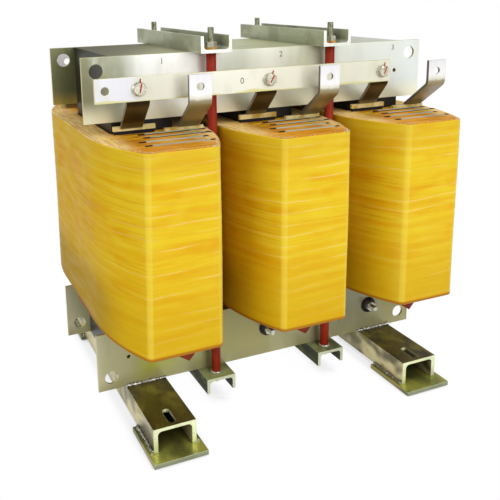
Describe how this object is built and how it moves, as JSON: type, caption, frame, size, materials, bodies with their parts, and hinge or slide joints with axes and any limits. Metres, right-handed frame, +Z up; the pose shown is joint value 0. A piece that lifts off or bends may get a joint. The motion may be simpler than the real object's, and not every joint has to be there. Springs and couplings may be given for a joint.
{
  "type": "three-phase dry type transformer",
  "caption": "Open three-phase dry-type power transformer: wound coils on a laminated core, clamped by bolted steel plates on channel feet.",
  "frame": {"origin": "on the floor, under the middle of the transformer", "axes": "+X right along the core, -Y to the front with the secondary terminals, +Z up"},
  "size_m": [0.722, 0.626, 0.724],
  "materials": {
    "core_steel": "stacked electrical steel, varnished edges",
    "clamp_plate": "yellow passivated zinc, semi-gloss",
    "cross_channel": "yellow-green passivated zinc",
    "foot_channel": "yellow-green passivated zinc",
    "foot_pad": "yellow-green passivated zinc",
    "threaded_rod": "zinc plated thread",
    "red_sleeve": "brick-red glass-polyester tube",
    "amber_washer": "amber laminate washer",
    "fastener": "zinc plated hexagon fasteners",
    "black_washer": "black insulating washer",
    "winding_tape": "varnished glass tape, golden yellow",
    "winding_inner": "varnished glass tape, orange brown",
    "duct_spacer": "grey-green laminate sticks",
    "terminal_bar": "flat conductor bar",
    "neutral_lead": "flat conductor bar",
    "neutral_bar": "brushed flat conductor bar",
    "lead_block": "pale varnished laminate block",
    "red_laminate": "dark red glass-polyester laminate",
    "weld": "raw weld bead"
  },
  "bodies": {
    "root": {"channel_lower_left": "cross_channel", "channel_lower_right": "cross_channel", "channel_upper_left": "cross_channel", "channel_upper_right": "cross_channel", "clamp_lower_front": "clamp_plate", "clamp_lower_rear": "clamp_plate", "clamp_upper_front": "clamp_plate", "clamp_upper_rear": "clamp_plate", "coil_supports_left": "red_laminate", "coil_supports_middle": "red_laminate", "coil_supports_right": "red_laminate", "core_limb_left": "core_steel", "core_limb_middle": "core_steel", "core_limb_right": "core_steel", "core_yoke_lower": "core_steel", "core_yoke_upper": "core_steel", "duct_spacers_left": "duct_spacer", "duct_spacers_middle": "duct_spacer", "duct_spacers_right": "duct_spacer", "foot_left": "foot_channel", "foot_right": "foot_channel", "lead_blocks_left": "lead_block", "lead_blocks_middle": "lead_block", "lead_blocks_right": "lead_block", "neutral_bar": "neutral_bar", "neutral_bolts": "fastener", "neutral_lead_left": "neutral_lead", "neutral_lead_middle": "neutral_lead", "neutral_lead_right": "neutral_lead", "neutral_nuts": "fastener", "neutral_washers": "fastener", "pad_front_left": "foot_pad", "pad_front_right": "foot_pad", "pad_rear_left": "foot_pad", "pad_rear_right": "foot_pad", "phase_lead_left": "terminal_bar", "phase_lead_middle": "terminal_bar", "phase_lead_right": "terminal_bar", "primary_leads": "terminal_bar", "rod_nuts": "fastener", "rod_sleeve_front_left": "red_sleeve", "rod_sleeve_front_right": "red_sleeve", "rod_sleeve_rear_left": "red_sleeve", "rod_sleeve_rear_right": "red_sleeve", "rod_washers": "amber_washer", "tie_rod_front_left": "threaded_rod", "tie_rod_front_right": "threaded_rod", "tie_rod_rear_left": "threaded_rod", "tie_rod_rear_right": "threaded_rod", "weld_beads": "weld", "winding_inner_left": "winding_inner", "winding_inner_middle": "winding_inner", "winding_inner_right": "winding_inner", "winding_outer_left": "winding_tape", "winding_outer_middle": "winding_tape", "winding_outer_right": "winding_tape", "yoke_bolts": "fastener", "yoke_nuts": "fastener", "yoke_washers": "black_washer"}
  },
  "joints": []
}
